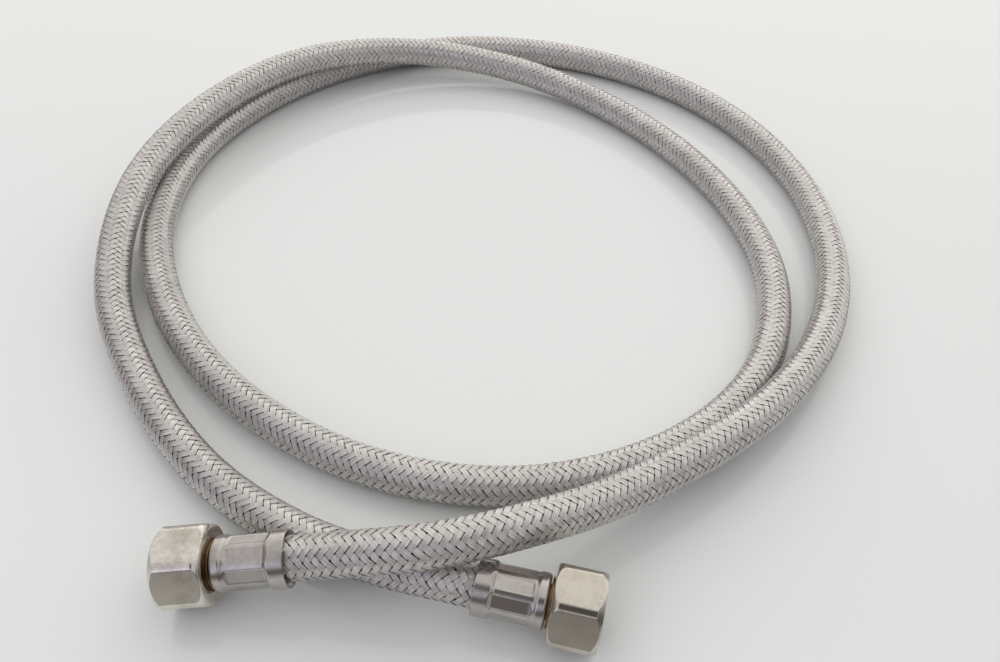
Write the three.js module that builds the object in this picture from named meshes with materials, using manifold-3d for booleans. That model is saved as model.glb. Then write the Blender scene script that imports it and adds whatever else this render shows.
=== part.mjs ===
// A braided supply hose. A rubber tube runs in a braided wire sleeve, and a ferrule at each end
// crimps both onto a brass nipple. A union nut turns freely on the nipple, behind its head, and
// a flat gasket lies in the nut against that head. The hose lies on the floor in two turns.
// Millimetres, +Z up. The origin is on the floor, midway between the two nuts' outer ends.

import * as THREE from "three";
import { mergeVertices } from "three/addons/utils/BufferGeometryUtils.js";
import Module from "manifold-3d";

const wasm = await Module();
wasm.setup();

// Clearances
const seatGap = 0.3; // between pieces that touch on the real hose
const nutPlay = 0.3; // how far the nut can slide back along its neck

// Hose
const hoseDiameter = 14;
const braidThickness = 0.7;
const linerWall = 1.2;
const hoseSides = 10;
const hoseSteps = 72;

// Union thread, a parallel G 1/2
const threadDiameter = 20.955;
const threadDepth = 1.162;

// Ferrule
const ferruleLength = 22.2;
const ferruleWall = 0.9;
const collarLength = 5.2;
const collarRise = 0.6;
const noseLength = 3.0;
const noseRise = 0.4;
const noseRound = 1.1;
const noseFlange = 1.4;
const stepRun = 0.8;
const lipThickness = 0.5;
const mouthDepth = 3.0;
const panelCount = 8;
const panelDepth = 0.35;
const panelFromCollar = 0.7;
const panelFromNose = 2.0;
const panelRearSlope = 1.4; // run along the ferrule for each millimetre of depth
const panelNoseSlope = 2.4;
const inletPanelTurn = 26; // degrees from upright to the middle of a panel
const outletPanelTurn = 8.5;

// Nipple
const nippleWall = 0.75;
const tailInset = 1.5;
const barbCount = 4;
const barbDepth = 0.3;
const shoulderCover = 0.6;
const ringThickness = 0.4;
const ringRise = 0.35;
const headLip = 1.65;
const headThickness = 2.2;

// Union nut
const nutLength = 15.5;
const nutWall = 1.52; // outside the thread, at the middle of a flat
const nutWeb = 3.3;
const cornerTrim = 0.65;
const rearRound = 2.5;
const frontDrop = 1.5;
const frontRun = 1.9;
const mouthMargin = 0.3;

// Gasket
const gasketThickness = 2;
const gasketBore = 10.5;

// Fineness of the turned forms
const nutSegments = 48;
const ferruleSegments = 40;
const nippleSegments = 28;
const gasketSegments = 32;
const arcSteps = 4;

// Radii that follow from the sizes above
const hoseRadius = hoseDiameter / 2;
const braidBore = hoseRadius - braidThickness;
const linerRadius = braidBore - seatGap;
const linerBore = linerRadius - linerWall;
const barbRadius = linerBore * Math.cos(Math.PI / hoseSides) - seatGap;
const tailRadius = barbRadius - barbDepth;
const waterRadius = tailRadius - nippleWall;
const stemRadius = linerBore + shoulderCover;
const ferruleBore = hoseRadius + seatGap;
const waistRadius = ferruleBore + ferruleWall;
const collarRadius = waistRadius + collarRise;
const noseRadius = waistRadius + noseRise;
const panelRadius = waistRadius - panelDepth;
const noseHole = stemRadius + seatGap;
const threadCrest = threadDiameter / 2 - threadDepth;
const threadMean = threadDiameter / 2 - threadDepth / 2;
const headRadius = threadCrest - seatGap;
const neckRadius = headRadius - headLip;
const ringRadius = neckRadius + ringRise;
const webBore = neckRadius + seatGap;
const mouthRadius = threadDiameter / 2 + mouthMargin;
const hexFlats = threadDiameter + 2 * nutWall;
const cornerRadius = hexFlats / Math.sqrt(3) - cornerTrim;

// Places along a fitting, outwards from the mouth where the hose leaves its ferrule
const flangeInside = ferruleLength - noseFlange;
const hoseEnd = flangeInside - seatGap;
const ringStart = ferruleLength + seatGap;
const ringEnd = ringStart + ringThickness;
const nutRear = ringEnd + nutPlay;
const nutShoulder = nutRear + nutWeb;
const headStart = nutShoulder + seatGap;
const headEnd = headStart + headThickness;
const gasketStart = headEnd + seatGap;
const gasketEnd = gasketStart + gasketThickness;
const nutFront = nutRear + nutLength;

// The hose's middle line, from the inlet ferrule's mouth to the outlet ferrule's mouth.
// The outlet nut rests on a flat, which sets the height of that end.
const outletHeight = hexFlats / 2;
const route = [
  [-26.8, 0.3, 17.79],
  [-21.05, 1.75, 18.72],
  [-10.4, 3.8, 21.3],
  [12.2, 9.4, 25.6],
  [38.2, 22.9, 25.7],
  [70.2, 50.3, 18.3],
  [115.2, 100.9, 15.4],
  [139.5, 155.9, 10.0],
  [144.2, 211.4, 7.4],
  [130.2, 264.9, 7.1],
  [99.7, 309.4, 7.1],
  [56.2, 339.9, 7.1],
  [2.7, 352.9, 7.1],
  [-52.8, 346.4, 7.1],
  [-103.3, 317.3, 7.1],
  [-140.8, 268.6, 7.1],
  [-157.8, 207.4, 7.1],
  [-149.5, 148.9, 7.1],
  [-120.0, 99.9, 7.1],
  [-74.8, 63.4, 7.1],
  [-18.3, 45.4, 7.1],
  [36.7, 51.4, 7.1],
  [84.1, 80.5, 7.1],
  [113.1, 124.4, 7.1],
  [118.7, 180.4, 7.1],
  [100.7, 232.4, 7.1],
  [67.2, 275.9, 7.1],
  [24.2, 307.4, 7.6],
  [-26.8, 323.7, 10.2],
  [-83.3, 315.1, 15.8],
  [-130.6, 278.4, 21.0],
  [-156.8, 220.4, 22.0],
  [-161.6, 157.9, 18.8],
  [-144.2, 101.9, 11.0],
  [-109.8, 59.9, 7.4],
  [-69.3, 29.0, 7.1],
  [-33.3, 15.1, 7.1],
  [-2.8, 9.8, 9.2],
  [20.6, 8.2, outletHeight],
  [28.6, 8.2, outletHeight],
].map((point) => new THREE.Vector3(...point));

const inletMouth = route[0];
const inletAxis = inletMouth.clone().sub(route[1]).normalize();
const outletMouth = route.at(-1);
const outletAxis = outletMouth.clone().sub(route.at(-2)).normalize();

const finishes = {
  braid: new THREE.MeshStandardMaterial({ color: 0xb5aeaa, roughness: 0.35, metalness: 1 }),
  rubber: new THREE.MeshStandardMaterial({ color: 0x1c1b1a, roughness: 0.8, metalness: 0 }),
  steel: new THREE.MeshStandardMaterial({ color: 0xa8a29b, roughness: 0.28, metalness: 1 }),
  nickel: new THREE.MeshStandardMaterial({ color: 0xb3aa9c, roughness: 0.38, metalness: 1 }),
  brass: new THREE.MeshStandardMaterial({ color: 0xb08a4a, roughness: 0.35, metalness: 1 }),
  fibre: new THREE.MeshStandardMaterial({ color: 0x2a2a2c, roughness: 0.85, metalness: 0 }),
};

// A closed mesh as a solid for joining and cutting.
function solidOf(geometry) {
  const bare = geometry.clone();
  bare.deleteAttribute("normal");
  bare.deleteAttribute("uv");
  const merged = mergeVertices(bare, 1e-4);
  return new wasm.Manifold(
    new wasm.Mesh({
      numProp: 3,
      vertProperties: new Float32Array(merged.attributes.position.array),
      triVerts: new Uint32Array(merged.index.array),
    }),
  );
}

// A solid as geometry again.
function geometryOf(solid) {
  const mesh = solid.getMesh();
  const geometry = new THREE.BufferGeometry();
  geometry.setAttribute("position", new THREE.BufferAttribute(mesh.vertProperties, 3));
  geometry.setIndex(new THREE.BufferAttribute(mesh.triVerts, 1));
  geometry.computeVertexNormals();
  return geometry;
}

// A ring turned about Y from the corners [radius, place] of its section. The corners run
// outwards along the bore and back along the outside, and a lathe takes them the other way.
function turned(corners, segments) {
  const profile = corners.map(([radius, place]) => new THREE.Vector2(radius, place)).reverse();
  profile.push(profile[0].clone());
  return new THREE.LatheGeometry(profile, segments);
}

// Corners along a quarter round, from one angle to another in degrees about its centre.
function arc(centreRadius, centrePlace, size, from, to) {
  return Array.from({ length: arcSteps + 1 }, (_, step) => {
    const angle = THREE.MathUtils.degToRad(from + ((to - from) * step) / arcSteps);
    return [centreRadius + size * Math.cos(angle), centrePlace + size * Math.sin(angle)];
  });
}

// A tube along the hose's middle line, from one nipple's shoulder to the other's.
function hoseTube(outerRadius, innerRadius) {
  const path = new THREE.CurvePath();
  const inletEnd = inletMouth.clone().addScaledVector(inletAxis, hoseEnd);
  const outletEnd = outletMouth.clone().addScaledVector(outletAxis, hoseEnd);
  path.add(new THREE.LineCurve3(inletEnd, inletMouth));
  path.add(new THREE.CatmullRomCurve3(route));
  path.add(new THREE.LineCurve3(outletMouth, outletEnd));
  const ring = (radius) =>
    Array.from({ length: hoseSides }, (_, side) => {
      const angle = (2 * Math.PI * side) / hoseSides;
      return new THREE.Vector2(radius * Math.cos(angle), radius * Math.sin(angle));
    });
  const section = new THREE.Shape(ring(outerRadius));
  section.holes.push(new THREE.Path(ring(innerRadius).reverse()));
  return new THREE.ExtrudeGeometry(section, { steps: hoseSteps, extrudePath: path });
}

// One pressed panel's cutter: a bar with sloped ends, its floor flat at the panel's radius.
function panelCutter(turn) {
  const rear = collarLength + panelFromCollar;
  const front = ferruleLength - noseLength - panelFromNose;
  const rise = collarRadius + noseRise - panelRadius;
  const outline = new THREE.Shape([
    new THREE.Vector2(panelRadius, rear),
    new THREE.Vector2(panelRadius + rise, rear - rise * panelRearSlope),
    new THREE.Vector2(panelRadius + rise, front + rise * panelNoseSlope),
    new THREE.Vector2(panelRadius, front),
  ]);
  const halfWidth = panelRadius * Math.tan(Math.PI / panelCount);
  const cutter = new THREE.ExtrudeGeometry(outline, { depth: 2 * halfWidth, bevelEnabled: false });
  cutter.translate(0, 0, -halfWidth);
  cutter.rotateY(turn - Math.PI / 2);
  return solidOf(cutter);
}

// The crimped steel sleeve: a flared mouth and collar, a waist with pressed panels, and a
// rounded nose turned in over the nipple's stem.
function ferrule(panelTurn) {
  const lip = collarRadius - lipThickness;
  const shell = turned(
    [
      [lip, 0],
      [ferruleBore, mouthDepth],
      [ferruleBore, flangeInside],
      [noseHole, flangeInside],
      [noseHole, ferruleLength],
      ...arc(noseRadius - noseRound, ferruleLength - noseRound, noseRound, 90, 0),
      [noseRadius, ferruleLength - noseLength],
      [waistRadius, ferruleLength - noseLength - stepRun],
      [waistRadius, collarLength + stepRun],
      [collarRadius, collarLength],
      ...arc(collarRadius - lipThickness / 2, lipThickness / 2, lipThickness / 2, 0, -90),
    ],
    ferruleSegments,
  );
  let solid = solidOf(shell);
  for (let panel = 0; panel < panelCount; panel++) {
    const turn = THREE.MathUtils.degToRad(panelTurn) + (2 * Math.PI * panel) / panelCount;
    solid = solid.subtract(panelCutter(turn));
  }
  return geometryOf(solid);
}

// The brass insert: a barbed tail in the rubber, a ring against the ferrule's nose, a neck
// that the nut turns on, and a flat head that seals.
function nipple() {
  const barbPitch = (flangeInside - tailInset) / barbCount;
  const barbs = Array.from({ length: barbCount }, (_, barb) => [
    [barbRadius, flangeInside - barb * barbPitch],
    [tailRadius, flangeInside - (barb + 1) * barbPitch],
  ]);
  return turned(
    [
      [waterRadius, tailInset],
      [waterRadius, headEnd],
      [headRadius, headEnd],
      [headRadius, headStart],
      [neckRadius, headStart],
      [neckRadius, ringEnd],
      [ringRadius, ringEnd],
      [ringRadius, ringStart],
      [stemRadius, ringStart],
      [stemRadius, flangeInside],
      ...barbs.flat(),
    ],
    nippleSegments,
  );
}

// The union nut: a hexagon with turned ends, a web that bears on the nipple's head, and a
// socket whose wall lies at the thread's mean radius.
function unionNut() {
  const envelope = turned(
    [
      [webBore, nutRear],
      [webBore, nutShoulder],
      [threadMean, nutShoulder],
      [threadMean, nutFront - (mouthRadius - threadMean)],
      [mouthRadius, nutFront],
      [cornerRadius - frontDrop, nutFront],
      [cornerRadius, nutFront - frontRun],
      ...arc(cornerRadius - rearRound, nutRear + rearRound, rearRound, 0, -90),
    ],
    nutSegments,
  );
  const sharpCorner = hexFlats / Math.sqrt(3);
  const hexagon = new THREE.CylinderGeometry(sharpCorner, sharpCorner, nutLength, 6);
  hexagon.rotateY(Math.PI / 6);
  hexagon.translate(0, (nutRear + nutFront) / 2, 0);
  return geometryOf(solidOf(hexagon).intersect(solidOf(envelope)));
}

function gasket() {
  const bore = gasketBore / 2;
  return turned(
    [
      [bore, gasketStart],
      [bore, gasketEnd],
      [headRadius, gasketEnd],
      [headRadius, gasketStart],
    ],
    gasketSegments,
  );
}

function named(name, geometry, finish) {
  const mesh = new THREE.Mesh(geometry, finish);
  mesh.name = name;
  return mesh;
}

// One end of the hose. Its own Y runs outwards along the fitting and its Z is upright, so
// that a flat of the nut faces straight down.
function fitting(end, mouth, axis, panelTurn) {
  const upright = new THREE.Vector3(0, 0, 1);
  const side = axis.clone().cross(upright).normalize();
  const up = side.clone().cross(axis);
  const group = new THREE.Group();
  group.setRotationFromMatrix(new THREE.Matrix4().makeBasis(side, axis, up));
  group.position.copy(mouth);
  group.add(
    named(`${end}_ferrule`, ferrule(panelTurn), finishes.steel),
    named(`${end}_nipple`, nipple(), finishes.brass),
    named(`${end}_nut`, unionNut(), finishes.nickel),
    named(`${end}_gasket`, gasket(), finishes.fibre),
  );
  return group;
}

const hose = new THREE.Group();
hose.add(
  named("braid", hoseTube(hoseRadius, braidBore), finishes.braid),
  named("liner", hoseTube(linerRadius, linerBore), finishes.rubber),
  fitting("inlet", inletMouth, inletAxis, inletPanelTurn),
  fitting("outlet", outletMouth, outletAxis, outletPanelTurn),
);

export default hose;
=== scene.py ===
"""Looks of a braided supply hose with a union nut at each end.

The woven sleeve is made of its real flat bands of wire, laid two over and two under round a
black rubber tube. Each end is a pressed steel ferrule, a brass nipple, a gasket and a union nut
with its thread. All sizes are in metres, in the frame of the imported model.
"""

from __future__ import annotations

import logging
import math
from dataclasses import dataclass, field
from enum import Enum
from typing import Any, Sequence

import bmesh
import bpy
import numpy as np
from mathutils import Matrix, Vector

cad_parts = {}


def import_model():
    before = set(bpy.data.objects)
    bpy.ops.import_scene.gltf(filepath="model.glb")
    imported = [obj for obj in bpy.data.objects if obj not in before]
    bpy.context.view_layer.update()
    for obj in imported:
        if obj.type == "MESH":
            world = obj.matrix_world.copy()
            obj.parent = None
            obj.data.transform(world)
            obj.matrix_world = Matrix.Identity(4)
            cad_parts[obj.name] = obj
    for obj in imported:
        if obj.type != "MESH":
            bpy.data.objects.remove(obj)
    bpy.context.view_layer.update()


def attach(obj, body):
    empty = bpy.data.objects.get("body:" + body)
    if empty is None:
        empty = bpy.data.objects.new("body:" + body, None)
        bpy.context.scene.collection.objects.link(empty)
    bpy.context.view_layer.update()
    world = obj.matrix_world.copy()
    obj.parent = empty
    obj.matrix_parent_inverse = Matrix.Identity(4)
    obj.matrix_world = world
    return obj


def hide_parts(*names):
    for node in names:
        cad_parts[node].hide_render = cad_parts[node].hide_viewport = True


log = logging.getLogger("supply_hose")

MM = 0.001
FULL_TURN = 2.0 * math.pi

# The hose's middle line from the inlet ferrule's mouth to the outlet ferrule's mouth
ROUTE = (
    (-0.0268, 0.0003, 0.01779),
    (-0.02105, 0.00175, 0.01872),
    (-0.0104, 0.0038, 0.0213),
    (0.0122, 0.0094, 0.0256),
    (0.0382, 0.0229, 0.0257),
    (0.0702, 0.0503, 0.0183),
    (0.1152, 0.1009, 0.0154),
    (0.1395, 0.1559, 0.0100),
    (0.1442, 0.2114, 0.0074),
    (0.1302, 0.2649, 0.0071),
    (0.0997, 0.3094, 0.0071),
    (0.0562, 0.3399, 0.0071),
    (0.0027, 0.3529, 0.0071),
    (-0.0528, 0.3464, 0.0071),
    (-0.1033, 0.3173, 0.0071),
    (-0.1408, 0.2686, 0.0071),
    (-0.1578, 0.2074, 0.0071),
    (-0.1495, 0.1489, 0.0071),
    (-0.1200, 0.0999, 0.0071),
    (-0.0748, 0.0634, 0.0071),
    (-0.0183, 0.0454, 0.0071),
    (0.0367, 0.0514, 0.0071),
    (0.0841, 0.0805, 0.0071),
    (0.1131, 0.1244, 0.0071),
    (0.1187, 0.1804, 0.0071),
    (0.1007, 0.2324, 0.0071),
    (0.0672, 0.2759, 0.0071),
    (0.0242, 0.3074, 0.0076),
    (-0.0268, 0.3237, 0.0102),
    (-0.0833, 0.3151, 0.0158),
    (-0.1306, 0.2784, 0.0210),
    (-0.1568, 0.2204, 0.0220),
    (-0.1616, 0.1579, 0.0188),
    (-0.1442, 0.1019, 0.0110),
    (-0.1098, 0.0599, 0.0074),
    (-0.0693, 0.0290, 0.0071),
    (-0.0333, 0.0151, 0.0071),
    (-0.0028, 0.0098, 0.0092),
    (0.0206, 0.0082, 0.0119975),
    (0.0286, 0.0082, 0.0119975),
)


class Lay(Enum):
    """The way that a band winds round the hose, seen from above."""

    RIGHT = "right"
    LEFT = "left"


@dataclass(frozen=True)
class HoseSizes:
    """Driving sizes of the hose and of both of its ends, as the solids have them."""

    diameter: float = 14.0 * MM
    hose_in_ferrule: float = 5.0 * MM
    seat_gap: float = 0.3 * MM
    ferrule_length: float = 22.2 * MM
    ferrule_flange: float = 1.4 * MM
    ferrule_wall: float = 0.9 * MM
    thread_diameter: float = 20.955 * MM
    thread_depth: float = 1.162 * MM
    thread_pitch: float = 1.814 * MM
    nut_length: float = 15.5 * MM
    nut_wall: float = 1.52 * MM
    nut_web: float = 3.3 * MM
    nut_play: float = 0.3 * MM
    ring_thickness: float = 0.4 * MM
    head_lip: float = 1.65 * MM
    head_thickness: float = 2.2 * MM
    gasket_thickness: float = 2.0 * MM
    gasket_bore: float = 10.5 * MM
    water_bore: float = 6.43 * MM

    @property
    def radius(self) -> float:
        """Outer radius of the hose."""
        return self.diameter / 2

    @property
    def ferrule_bore(self) -> float:
        """Inner radius of the ferrule's sleeve."""
        return self.radius + self.seat_gap

    @property
    def waist(self) -> float:
        """Outer radius of the ferrule between its panels."""
        return self.ferrule_bore + self.ferrule_wall

    @property
    def flange_inside(self) -> float:
        """Inner face of the ferrule's flange, from its mouth."""
        return self.ferrule_length - self.ferrule_flange

    @property
    def head(self) -> float:
        """Radius of the nipple's head and of the gasket, which pass the thread's crest."""
        return self.thread_diameter / 2 - self.thread_depth - self.seat_gap

    @property
    def neck(self) -> float:
        """Radius of the neck that the nut turns on."""
        return self.head - self.head_lip

    @property
    def across_flats(self) -> float:
        """Width of the nut's hexagon."""
        return self.thread_diameter + 2 * self.nut_wall

    @property
    def ring_start(self) -> float:
        """Where the nipple's ring begins, from the ferrule's mouth."""
        return self.ferrule_length + self.seat_gap

    @property
    def ring_end(self) -> float:
        """Where the nipple's ring ends."""
        return self.ring_start + self.ring_thickness

    @property
    def nut_rear(self) -> float:
        """Where the nut begins."""
        return self.ring_end + self.nut_play

    @property
    def nut_shoulder(self) -> float:
        """The nut's inner shoulder, which bears on the nipple's head."""
        return self.nut_rear + self.nut_web

    @property
    def nut_front(self) -> float:
        """Where the nut ends."""
        return self.nut_rear + self.nut_length

    @property
    def head_start(self) -> float:
        """Rear face of the nipple's head."""
        return self.nut_shoulder + self.seat_gap

    @property
    def head_end(self) -> float:
        """Front face of the nipple's head."""
        return self.head_start + self.head_thickness


class HoseLine:
    """The hose's middle line as a smooth curve, with a frame that doesn't twist along it."""

    def __init__(self, points: Sequence[Sequence[float]], tail: float, step: float = MM) -> None:
        """Lays the curve through the points.

        Args:
            points: the route from one ferrule's mouth to the other's.
            tail: length of the straight stretch added at each end, inside the ferrule.
            step: spacing of the stored samples.
        """
        route = np.array(points)
        self.start = route[0]
        self.end = route[-1]
        self.start_axis = self._unit(route[0] - route[1])
        self.end_axis = self._unit(route[-1] - route[-2])
        curve = self._smooth(route)
        line = np.vstack([self.start + self.start_axis * tail, curve, self.end + self.end_axis * tail])
        runs = np.linalg.norm(np.diff(line, axis=0), axis=1)
        along = np.concatenate([[0.0], np.cumsum(runs)])
        self.length = float(along[-1]) - 2 * tail
        count = int(along[-1] / step) + 1
        places = np.linspace(0.0, along[-1], count)
        self.places = places - tail
        self.line = np.stack([np.interp(places, along, line[:, axis]) for axis in range(3)], axis=1)
        self._carry_frame()

    @staticmethod
    def _unit(vector: np.ndarray) -> np.ndarray:
        """The vector at length one."""
        return vector / np.linalg.norm(vector)

    @staticmethod
    def _smooth(route: np.ndarray, steps: int = 48) -> np.ndarray:
        """A smooth curve through the route, with its knots spaced by the root of each chord.

        Args:
            route: the points that the spline passes.
            steps: samples between two points.

        Returns:
            The samples, one row each.
        """
        padded = np.vstack([2 * route[0] - route[1], route, 2 * route[-1] - route[-2]])
        before, here, there, after = padded[:-3], padded[1:-2], padded[2:-1], padded[3:]
        knot = [np.linalg.norm(b - a, axis=1)[:, None] ** 0.5 for a, b in
                ((before, here), (here, there), (there, after))]
        leave = (here - before) / knot[0] - (there - before) / (knot[0] + knot[1])
        leave = (leave + (there - here) / knot[1]) * knot[1]
        arrive = (there - here) / knot[1] - (after - here) / (knot[1] + knot[2])
        arrive = (arrive + (after - there) / knot[2]) * knot[1]
        share = np.linspace(0.0, 1.0, steps, endpoint=False)[None, :, None]
        second = (-3 * here + 3 * there - 2 * leave - arrive)[:, None]
        third = (2 * here - 2 * there + leave + arrive)[:, None]
        curve = here[:, None] + leave[:, None] * share + second * share**2 + third * share**3
        return np.vstack([curve.reshape(-1, 3), route[-1]])

    def _carry_frame(self) -> None:
        """Carries a side vector along the line without twist."""
        tangents = np.gradient(self.line, axis=0)
        tangents /= np.linalg.norm(tangents, axis=1)[:, None]
        side = np.cross(tangents[0], (0.0, 0.0, 1.0))
        sides = np.empty_like(tangents)
        for row, tangent in enumerate(tangents):
            side = self._unit(side - np.dot(side, tangent) * tangent)
            sides[row] = side
        self.sides = sides
        self.ups = np.cross(sides, tangents)

    def _between(self, values: np.ndarray, places: np.ndarray) -> np.ndarray:
        """Values of the samples at places along the line."""
        return np.stack([np.interp(places, self.places, values[:, axis]) for axis in range(3)], axis=1)

    def wrap(self, places: np.ndarray, angles: np.ndarray, radii: np.ndarray) -> np.ndarray:
        """Points round the line.

        Args:
            places: distances along the line from the inlet's mouth.
            angles: angles round it.
            radii: distances from it.

        Returns:
            The points, one row each.
        """
        centre = self._between(self.line, places)
        side = self._between(self.sides, places)
        up = self._between(self.ups, places)
        across = np.cos(angles)[:, None] * side + np.sin(angles)[:, None] * up
        return centre + radii[:, None] * across


class Graph:
    """A node tree that is filled in from code."""

    def __init__(self, tree: bpy.types.NodeTree) -> None:
        """Takes the tree to fill in."""
        self.tree = tree

    def add(self, kind: str, inputs: dict[str | int, Any] | None = None,
            **settings: Any) -> bpy.types.Node:
        """Adds a node.

        Args:
            kind: the node's type.
            inputs: values or sockets for its inputs, by name or number.
            settings: its other settings.

        Returns:
            The node.
        """
        node = self.tree.nodes.new(kind)
        for name, value in settings.items():
            setattr(node, name, value)
        for name, value in (inputs or {}).items():
            if isinstance(value, bpy.types.NodeSocket):
                self.tree.links.new(value, node.inputs[name])
            else:
                node.inputs[name].default_value = value
        return node

    def maths(self, operation: str, first: Any, second: Any = 0.0,
              third: Any = 0.0) -> bpy.types.NodeSocket:
        """Adds a sum on two or three values or sockets.

        Args:
            operation: the sum's name in Blender.
            first: its first value.
            second: its second value.
            third: its third value.

        Returns:
            The result.
        """
        node = self.add("ShaderNodeMath", {0: first, 1: second, 2: third}, operation=operation)
        return node.outputs[0]

    def spread(self, value: Any, low: float, high: float,
               to_low: float = 0.0, to_high: float = 1.0) -> bpy.types.NodeSocket:
        """Moves a value from one range into another, and holds it there.

        Args:
            value: the value to move.
            low: where its range starts.
            high: where its range ends.
            to_low: where the new range starts.
            to_high: where the new range ends.

        Returns:
            The moved value.
        """
        node = self.add("ShaderNodeMapRange", {0: value, 1: low, 2: high, 3: to_low, 4: to_high})
        return node.outputs[0]

    def noise(self, vector: Any, scale: Any, detail: float = 3.0,
              roughness: float = 0.55) -> bpy.types.NodeSocket:
        """Adds soft noise from 0 to 1.

        Args:
            vector: the place that it is read at.
            scale: how fine it is.
            detail: how many finer layers it has.
            roughness: how strong the finer layers are.

        Returns:
            The noise's value.
        """
        inputs = {"Vector": vector, "Scale": scale, "Detail": detail, "Roughness": roughness}
        return self.add("ShaderNodeTexNoise", inputs).outputs["Fac"]

    def blend(self, share: Any, first: Any, second: Any) -> bpy.types.NodeSocket:
        """Two colours blended.

        Args:
            share: how much of the second colour there is.
            first: a colour or socket.
            second: another.

        Returns:
            The blended colour's socket.
        """
        node = self.add("ShaderNodeMix", data_type="RGBA")
        for index, value in ((0, share), (6, first), (7, second)):
            if isinstance(value, bpy.types.NodeSocket):
                self.tree.links.new(value, node.inputs[index])
            else:
                node.inputs[index].default_value = value
        return node.outputs[2]


def colour(red: float, green: float, blue: float) -> tuple[float, float, float, float]:
    """An opaque colour in linear light."""
    return (red, green, blue, 1.0)


class Effect:
    """A shader node group that several finishes use."""

    def __init__(self, name: str, inputs: dict[str, tuple[str, Any]], outputs: dict[str, str]) -> None:
        """Makes an empty group.

        Args:
            name: the group's name.
            inputs: type and starting value of each input, by name.
            outputs: type of each output, by name.
        """
        self.tree = bpy.data.node_groups.new(name, "ShaderNodeTree")
        for label, (kind, value) in inputs.items():
            socket = self.tree.interface.new_socket(label, in_out="INPUT", socket_type=kind)
            if kind == "NodeSocketFloat":
                socket.default_value = value
        for label, kind in outputs.items():
            self.tree.interface.new_socket(label, in_out="OUTPUT", socket_type=kind)
        self.graph = Graph(self.tree)
        self.source = self.graph.add("NodeGroupInput").outputs
        self.result = self.graph.add("NodeGroupOutput").inputs

    def put(self, label: str, socket: bpy.types.NodeSocket) -> None:
        """Sends a value to one of the group's outputs."""
        self.tree.links.new(socket, self.result[label])

    def use(self, graph: Graph, inputs: dict[str, Any]) -> bpy.types.bpy_prop_collection:
        """Places the group in a material.

        Args:
            graph: the material's tree.
            inputs: values or sockets for the group's inputs.

        Returns:
            The placed group's outputs.
        """
        node = graph.add("ShaderNodeGroup", node_tree=self.tree)
        for label, value in inputs.items():
            if isinstance(value, bpy.types.NodeSocket):
                graph.tree.links.new(value, node.inputs[label])
            else:
                node.inputs[label].default_value = value
        return node.outputs


def mottle_effect() -> Effect:
    """Uneven tarnish: broad clouds and small blotches.

    Returns:
        The group, which puts out a tone from 0 to 1.
    """
    effect = Effect(
        "Mottle",
        {"Place": ("NodeSocketVector", None), "Cloud size": ("NodeSocketFloat", 150.0),
         "Blotch size": ("NodeSocketFloat", 700.0)},
        {"Tone": "NodeSocketFloat"},
    )
    graph = effect.graph
    cloud = graph.noise(effect.source["Place"], effect.source["Cloud size"], 2.0, 0.5)
    blotch = graph.noise(effect.source["Place"], effect.source["Blotch size"], 4.0, 0.65)
    blotch_share = 0.4
    blotches = graph.maths("MULTIPLY", blotch, blotch_share)
    both = graph.maths("MULTIPLY_ADD", cloud, 1.0 - blotch_share, blotches)
    effect.put("Tone", graph.spread(both, 0.3, 0.7))
    return effect


def pits_effect() -> Effect:
    """Fine pits in a plated or worn face, with bright specks in them that are painted glints.

    Returns:
        The group, which puts out how deep a pit is and where a glint is painted.
    """
    effect = Effect(
        "Pits",
        {"Place": ("NodeSocketVector", None), "Fineness": ("NodeSocketFloat", 2200.0),
         "Amount": ("NodeSocketFloat", 0.5)},
        {"Depth": "NodeSocketFloat", "Glint": "NodeSocketFloat"},
    )
    graph = effect.graph
    cells = graph.add("ShaderNodeTexVoronoi", {"Vector": effect.source["Place"],
                                               "Scale": effect.source["Fineness"]})
    pit_reach = 0.35
    near = graph.spread(cells.outputs["Distance"], 0.0, pit_reach, 1.0, 0.0)
    chance = graph.add("ShaderNodeSeparateColor", {"Color": cells.outputs["Color"]})
    limit = graph.maths("SUBTRACT", 1.0, effect.source["Amount"])
    pitted = graph.maths("GREATER_THAN", chance.outputs[0], limit)
    # Painted glint: a share of the pits is picked to be painted bright, standing in for sparkle.
    fewer = graph.maths("MULTIPLY_ADD", limit, 0.5, 0.5)
    glinting = graph.maths("GREATER_THAN", chance.outputs[1], fewer)
    orange_peel = graph.noise(effect.source["Place"], 5200.0, 2.0)
    peel_depth = graph.maths("MULTIPLY", effect.source["Amount"], 0.7)
    depth = graph.maths("MULTIPLY", near, pitted)
    effect.put("Depth", graph.maths("MULTIPLY_ADD", orange_peel, peel_depth, depth))
    effect.put("Glint", graph.maths("MULTIPLY", near, glinting))
    return effect


def grain_effect() -> Effect:
    """Fine parallel lines left by turning or drawing, along the first axis of the place.

    Returns:
        The group, which puts out the lines' height from 0 to 1.
    """
    effect = Effect(
        "Grain",
        {"Place": ("NodeSocketVector", None), "Lines": ("NodeSocketFloat", 900.0),
         "Drift": ("NodeSocketFloat", 12.0)},
        {"Height": "NodeSocketFloat"},
    )
    graph = effect.graph
    parts = graph.add("ShaderNodeSeparateXYZ", {"Vector": effect.source["Place"]})
    stretched = graph.add("ShaderNodeCombineXYZ", {
        "X": graph.maths("MULTIPLY", parts.outputs[0], effect.source["Drift"]),
        "Y": graph.maths("MULTIPLY", parts.outputs[1], effect.source["Lines"]),
        "Z": parts.outputs[2],
    })
    effect.put("Height", graph.noise(stretched.outputs[0], 1.0, 4.0, 0.6))
    return effect


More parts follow.
